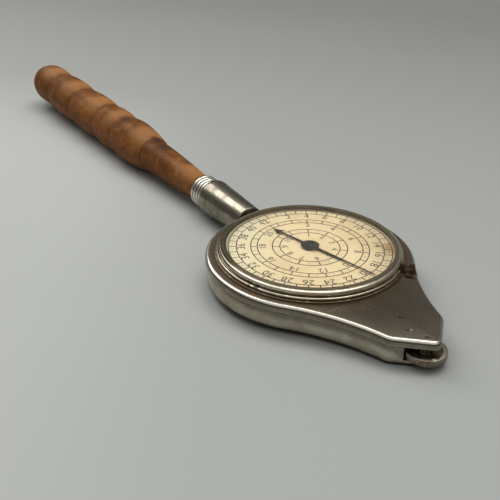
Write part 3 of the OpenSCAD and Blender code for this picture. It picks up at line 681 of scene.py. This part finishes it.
def makeCrust(s):
    bm = bmesh.new()
    turn = Matrix.Rotation(math.radians(s["turn"]), 4, "Z")
    for lump in s["lumps"]:
        size = Matrix.Diagonal(inMetres(lump["size"]) + [1])
        place = Matrix.Translation(inMetres(lump["at"])) @ turn @ size
        bmesh.ops.create_icosphere(bm, subdivisions=s["subdivisions"], radius=1, matrix=place)
    centres = [Vector(inMetres(lump["at"])) for lump in s["lumps"]]
    for vert in bm.verts:
        centre = min(centres, key=lambda at: (vert.co - at).length)
        swell = fractal(vert.co / (s["grain"] * mm), *s["fractal"]) * s["uneven"]
        vert.co = centre + (vert.co - centre) * (1 + swell)
    finishPiece(bm, "rustCrust", metal["crust"], "case", sharp=60)


makeCrust(crustSettings)

# Glass with a ground edge
glassSettings = dict(r=15.38, low=6.35, high=6.56, edge=0.05, steps=160)


def makeGlass(s):
    r, low, high, edge = s["r"], s["low"], s["high"], s["edge"]
    points = [(0, low), (r - edge, low), (r, low + edge), (r, high - edge), (r - edge, high),
              (0, high)]
    bm = turned(points, s["steps"])
    finishPiece(bm, "flatGlass", glassClear, "case", "glass")


makeGlass(glassSettings)

# Card: a smooth disc with the hole for the hand's arbor
cardShape = dict(r=15.1, hole=0.85, low=5.63, high=5.75, steps=160)


def makeCard(s):
    points = [(s["hole"], s["low"]), (s["r"], s["low"]), (s["r"], s["high"]),
              (s["hole"], s["high"])]
    bm = turned(points, s["steps"], closed=True)
    finishPiece(bm, "dialCard", card, "case", "dial_card")


makeCard(cardShape)

# Printing of the dial: three scales of 43, 21.5 and 10.75 units to the turn, clockwise from the
# handle. A step is one unit of its own scale, counted in units of the outer one.
printSettings = dict(
    z=5.75, thick=0.012, line=0.185, dot=0.11, dotSides=10, units=43, ringSteps=160,
    scales=[dict(outer=14.5, inner=13.05, step=1, numberEvery=2, numbers=21, numberR=12.1,
                 size=2.1),
            dict(outer=10.5, inner=9.35, step=2, numberEvery=2, numbers=10, numberR=8.35,
                 size=1.85),
            dict(outer=6.67, inner=5.32, step=4, numberEvery=1, numbers=10, numberR=4.35,
                 size=1.7)])


def printPlace(s, units, r):  # the place of a reading, with its X axis pointing outwards
    turn = Matrix.Rotation(math.pi - 2 * math.pi * units / s["units"], 4, "Z")
    return turn @ Matrix.Translation((r * mm, 0, (s["z"] + s["thick"] / 2) * mm))


def makeScales(s):
    bm = bmesh.new()
    low, high, half = s["z"], s["z"] + s["thick"], s["line"] / 2
    dot = dict(cap_ends=True, segments=s["dotSides"], radius1=s["dot"] * mm,
               radius2=s["dot"] * mm, depth=s["thick"] * mm)
    for scale in s["scales"]:
        for r in (scale["outer"], scale["inner"]):
            section = [(r - half, low), (r + half, low), (r + half, high), (r - half, high)]
            spinProfile(bm, section, s["ringSteps"], closed=True)
        middle, length = (scale["outer"] + scale["inner"]) / 2, scale["outer"] - scale["inner"]
        tick = Matrix.Diagonal(inMetres((length, s["line"], s["thick"])) + [1])
        for unit in range(0, s["units"], scale["step"]):
            bmesh.ops.create_cube(bm, size=1, matrix=printPlace(s, unit, middle) @ tick)
            between = unit + scale["step"] / 2
            if between < s["units"]:
                bmesh.ops.create_cone(bm, matrix=printPlace(s, between, middle), **dot)
    finishPiece(bm, "dialScales", ink, "case")


def makeNumbers(s):
    bm = bmesh.new()
    upright = Matrix.Rotation(-math.pi / 2, 4, "Z")
    for scale in s["scales"]:
        for k in range(1, scale["numbers"] + 1):
            number = k * scale["numberEvery"]
            curve = bpy.data.curves.new("number", "FONT")
            curve.body = str(number)
            curve.size = scale["size"] * mm
            curve.align_x, curve.align_y = "CENTER", "CENTER"
            curve.extrude = s["thick"] / 2 * mm
            curve.resolution_u = 3
            writing = bpy.data.objects.new("number", curve)
            scene.collection.objects.link(writing)
            mesh = bpy.data.meshes.new_from_object(writing)
            mesh.transform(printPlace(s, number * scale["step"], scale["numberR"]) @ upright)
            bm.from_mesh(mesh)
            bpy.data.objects.remove(writing)
            bpy.data.meshes.remove(mesh)
    finishPiece(bm, "dialNumbers", ink, "case")


makeScales(printSettings)
makeNumbers(printSettings)
print("dial made")


# The hand, the wheel and the stud's collar: flat shapes of their CAD nodes with bevelled edges
def bevelledCopy(node, name, material, body, width, segments=2, sharp=50, edgeTurn=30):
    bm = bmesh.new()
    bm.from_mesh(nodes[node].data)
    bmesh.ops.remove_doubles(bm, verts=bm.verts, dist=1e-6)
    bmesh.ops.dissolve_limit(bm, angle_limit=math.radians(0.5), verts=bm.verts, edges=bm.edges)
    edges = [e for e in bm.edges
             if len(e.link_faces) == 2 and e.calc_face_angle() > math.radians(edgeTurn)]
    roundEdges(bm, edges, width, segments)
    finishPiece(bm, name, material, body, node, sharp)


bevelledCopy("hand", "handPointer", metal["blackSteel"], "hand_group", width=0.025)

# Cap of the hand: a low button with a turned ring. The edge is in mm from the rim and the foot,
# and the top in shares of the radius and mm above the foot.
capSettings = dict(r=1.65, low=6.12, edge=[(0.05, 0), (0, 0.02), (0, 0.05), (0.06, 0.08)],
                   top=[(0.82, 0.095), (0.76, 0.085), (0.70, 0.10), (0.5, 0.13), (0.25, 0.145),
                        (0, 0.15)], steps=64)


def makeCap(s):
    points = [(0, s["low"])] + [(s["r"] - inset, s["low"] + rise) for inset, rise in s["edge"]]
    points += [(s["r"] * share, s["low"] + rise) for share, rise in s["top"]]
    bm = turned(points, s["steps"])
    finishPiece(bm, "handCap", metal["cap"], "hand_group", "hand_cap", sharp=60)


makeCap(capSettings)
bevelledCopy("measuring_wheel", "milledWheel", metal["wheel"], "wheel_group", width=0.035)
bevelledCopy("stud_collar", "studCollar", metal["collar"], "case", width=0.12, segments=3,
             sharp=40, edgeTurn=60)
print("hand and wheel made")

# Ferrule and handle lie along one axis, which leans down a little from the case
axisSettings = dict(height=2.3, lean=0.5)
handleAxis = (Matrix.Translation((0, 0, axisSettings["height"] * mm))
              @ Matrix.Rotation(math.radians(-90 - axisSettings["lean"]), 4, "Y"))

# Ferrule: a tapered tube with a rounded lip, a shoulder and small beads. The shoulder's points
# are in mm from its big end, and each arc has its angles and the number of its steps.
ferruleSettings = dict(
    start=19.6, smallR=3.15, bigR=3.85, lip=0.2, lipArc=(-80, 0, 4), taper=(0.33, 0.66, 0.97),
    shoulder=33.0, shoulderEdge=[(0, 0), (0, 0.2), (-0.05, 0.8), (-0.15, 0.98), (-0.35, 1.08)],
    beadsFrom=34.1, beads=4, beadIn=0.15, beadFill=0.44, beadArc=(-80, 80, 8), end=38.1,
    endIn=0.12, studR=1.13, tenonR=2.63, base=1, steps=160)


def makeFerrule(s):
    small, lip, lipEnd = s["smallR"], s["lip"], s["start"] + s["lip"]
    points = [(s["studR"], s["start"]), (small - lip, s["start"])]
    points += arcPoints((small - lip, lipEnd), lip, *s["lipArc"])
    points += [(small + (s["bigR"] - small) * t, lipEnd + (s["shoulder"] - lipEnd) * t)
               for t in s["taper"]]
    points += [(s["bigR"] + r, s["shoulder"] + x) for r, x in s["shoulderEdge"]]
    pitch = (s["end"] - s["beadsFrom"]) / s["beads"]
    for k in range(s["beads"]):
        centre = (small - s["beadIn"], s["beadsFrom"] + pitch * (k + 0.5))
        points += arcPoints(centre, pitch * s["beadFill"], *s["beadArc"])
    points += [(small - s["endIn"], s["end"]), (s["tenonR"], s["end"]),
               (s["tenonR"], s["start"] + s["base"]), (s["studR"], s["start"] + s["base"])]
    bm = turned(points, s["steps"], closed=True)
    finishPiece(bm, "ferruleTube", metal["ferrule"], "case", "ferrule", sharp=50,
                place=handleAxis)


makeFerrule(ferruleSettings)

# Handle: stem, small shoulder, belly, a short bead, two long beads and a rounded end. Names that
# end in In are for radii, and say how much smaller than the largest one they are. A rise or fall
# is a share of the length of the belly or the knob, and a curve is a power.
handleSettings = dict(
    r=5.69, neckIn=1.85, bellyIn=0.25, knobIn=0.1, stemX=38.1, stemR=2.75, stemLen=23.9,
    beadLen=16.8, shortLen=11, knobLen=17.5, groove=0.7, grooveCurve=2.4, nick=0.12,
    shoulder=0.25, stemCurve=1.2, bellyRise=0.75, bellyFall=0.6, bellyCurve=0.9, knobRise=0.45,
    knobCurve=0.55, tip=0.10, tipFlat=0.01, tenon=8, tenonR=2.6, bore=1.11, boreDepth=6,
    steps=128, longPoints=20, beadPoints=16, knobPoints=32)


def makeHandle(s):
    neck, belly, knob = (s["r"] - s[name] for name in ("neckIn", "bellyIn", "knobIn"))
    tenonX, bellyX = s["stemX"] - s["tenon"], s["stemX"] + s["stemLen"]
    points = [(s["bore"], tenonX), (s["tenonR"], tenonX), (s["tenonR"], s["stemX"])]

    def addLength(start, length, count, radiusAt):  # radiusAt takes the share of the length
        points.extend((radiusAt(k / count), start + length * k / count) for k in range(count))

    def drawnIn(share):  # depth below a crown, with the share 0 at the crown and 1 at a groove
        return s["groove"] * share ** s["grooveCurve"]

    def nicked(t):  # each bead starts with a small step down
        return s["nick"] if t == 0 else 0

    def stemRadius(t):
        return s["stemR"] + (neck - s["stemR"]) * math.sin(math.pi / 2 * t) ** s["stemCurve"]

    def bellyRadius(t):
        first = neck + s["shoulder"]
        last = belly - drawnIn(max(0, (t - s["bellyFall"]) / (1 - s["bellyFall"])))
        rise = math.sin(math.pi / 2 * min(1, t / s["bellyRise"])) ** s["bellyCurve"]
        return first + (last - first) * rise

    def knobRadius(t):
        if t < s["knobRise"]:
            return knob - drawnIn(abs(t / s["knobRise"] - 1)) - nicked(t)
        fall = (t - s["knobRise"]) / (1 - s["knobRise"])
        return knob * math.cos(math.pi / 2 * fall) ** s["knobCurve"]

    addLength(s["stemX"], s["stemLen"], s["longPoints"], stemRadius)
    addLength(bellyX, s["beadLen"], s["longPoints"], bellyRadius)
    x = bellyX + s["beadLen"]
    for length, r in ((s["shortLen"], belly), (s["beadLen"], knob), (s["beadLen"], s["r"])):
        addLength(x, length, s["beadPoints"], lambda t: r - drawnIn(abs(2 * t - 1)) - nicked(t))
        x += length
    addLength(x, s["knobLen"], s["knobPoints"], knobRadius)
    end = x + s["knobLen"]
    points += [(knob * s["tip"], end - s["tipFlat"]), (0, end)]
    points += [(0, bellyX + s["boreDepth"]), (s["bore"], bellyX + s["boreDepth"])]
    bm = turned(points, s["steps"], closed=True)
    return finishPiece(bm, "turnedHandle", wood, "case", "handle", sharp=50,
                       place=handleAxis)


turnedHandle = makeHandle(handleSettings)
print("ferrule and handle made")

# Floor: the object lies on the lower edge of its nose and on the fattest bead, so the floor leans
# a little. Painted light in its colour makes it paler near the camera, and palest towards the lower
# left of the picture.
floorSettings = dict(
    size=3.0, restX=31.4, low=0.02, near=(0.430, 0.440, 0.425), far=(0.218, 0.215, 0.202),
    corner=(0.490, 0.500, 0.485), cloudy=(0.33, 0.34, 0.33), away=(-0.5, 0.87, 0),
    fade=(-0.08, 0.30), side=(0.54, 0.84, 0), sideFade=(-0.01, -0.055), cornerFade=(0.10, 0.02),
    cloudScale=14, clouds=(0.3, 0.7, 0, 0.06), roughness=0.75)


def floorMaterial(s):
    material, tree, shader, coords = newMaterial("paleFloor")
    # painted light: paler near the camera, darker away from it, and palest at the lower left
    away = vectorCalc(tree, "DOT_PRODUCT", coords, s["away"])
    colour = blendColours(tree, span(tree, away, *s["fade"]), s["near"], s["far"])
    side = vectorCalc(tree, "DOT_PRODUCT", coords, s["side"])
    corner = calc(tree, "MULTIPLY", span(tree, side, *s["sideFade"]),
                  span(tree, away, *s["cornerFade"]))
    colour = blendColours(tree, corner, colour, s["corner"])
    cloud = noise(tree, coords, s["cloudScale"], detail=3, roughness=0.5)
    colour = blendColours(tree, span(tree, cloud, *s["clouds"]), colour, s["cloudy"])
    tree.links.new(colour, shader.inputs["Base Color"])
    setValues(shader, Roughness=s["roughness"])
    return material


def makeFloor(s, handle):
    slope = max(-v.co.z / (s["restX"] * mm - v.co.x) for v in handle.data.vertices)
    bm = bmesh.new()
    bmesh.ops.create_grid(bm, x_segments=1, y_segments=1, size=s["size"])
    lean = Matrix.Rotation(-math.atan(slope), 4, "Y")
    bmesh.ops.transform(bm, matrix=lean, verts=bm.verts)
    drop = slope * s["restX"] * mm + s["low"] * mm
    bmesh.ops.translate(bm, vec=(0, 0, -drop), verts=bm.verts)
    mesh = bpy.data.meshes.new("floor")
    bm.to_mesh(mesh)
    bm.free()
    floor = bpy.data.objects.new("floor", mesh)
    scene.collection.objects.link(floor)
    mesh.materials.append(floorMaterial(s))
    print("floor slope", round(math.degrees(math.atan(slope)), 3))


makeFloor(floorSettings, turnedHandle)

# Lamps: places and sizes in metres, power in watts. Each lamp faces the case.
lampSettings = [dict(name="windowLamp", place=(-0.62, -0.10, 0.58), size=(0.4, 0.7), power=3.0,
                     colour=(1.0, 0.99, 0.97)),
                dict(name="overheadLamp", place=(-0.12, 0.22, 0.72), size=(0.5, 0.38), power=1.7,
                     colour=(1.0, 0.99, 0.96))]


def addLamp(s):
    light = bpy.data.lights.new(s["name"], "AREA")
    light.shape = "RECTANGLE"
    light.size, light.size_y = s["size"]
    light.energy = s["power"]
    light.color = s["colour"]
    lamp = bpy.data.objects.new(s["name"], light)
    lamp.location = s["place"]
    lamp.rotation_euler = (-Vector(s["place"])).to_track_quat("-Z", "Y").to_euler()
    scene.collection.objects.link(lamp)


for settings in lampSettings:
    addLamp(settings)

# Soft surroundings: dim near the horizon and brighter overhead
worldSettings = dict(horizon=(0.15, 0.15, 0.14), zenith=(0.82, 0.84, 0.84), rise=(0.42, 1.0))


def makeWorld(s):
    world = bpy.data.worlds.new("softStudio")
    scene.world = world
    world.use_nodes = True
    tree = world.node_tree
    direction = tree.nodes.new("ShaderNodeTexCoord").outputs["Generated"]
    upwards = span(tree, splitCoords(tree, direction)["z"], *s["rise"])
    sky = blendColours(tree, upwards, s["horizon"], s["zenith"])
    background = tree.nodes["Background"]
    tree.links.new(sky, background.inputs["Color"])
    background.inputs["Strength"].default_value = 1.0


makeWorld(worldSettings)
print("stage and lights made")

# Camera: its place in metres, and its own axes
cameraSettings = dict(
    place=(0.091758, -0.072727, 0.06969), right=(0.54026, 0.84135, 0.01561),
    up=(-0.41577, 0.25076, 0.87422), back=(0.73161, -0.4788, 0.48529), lens=54.0, sensor=36.0,
    nearest=0.005, farthest=20)


def makeCamera(s):
    data = bpy.data.cameras.new("camera")
    data.lens, data.sensor_width = s["lens"], s["sensor"]
    data.clip_start, data.clip_end = s["nearest"], s["farthest"]
    camera = bpy.data.objects.new("camera", data)
    turn = Matrix((s["right"], s["up"], s["back"])).transposed()
    camera.matrix_world = Matrix.Translation(s["place"]) @ turn.to_4x4()
    scene.collection.objects.link(camera)
    scene.camera = camera


makeCamera(cameraSettings)
scene.view_settings.view_transform = "Standard"
print("camera made")
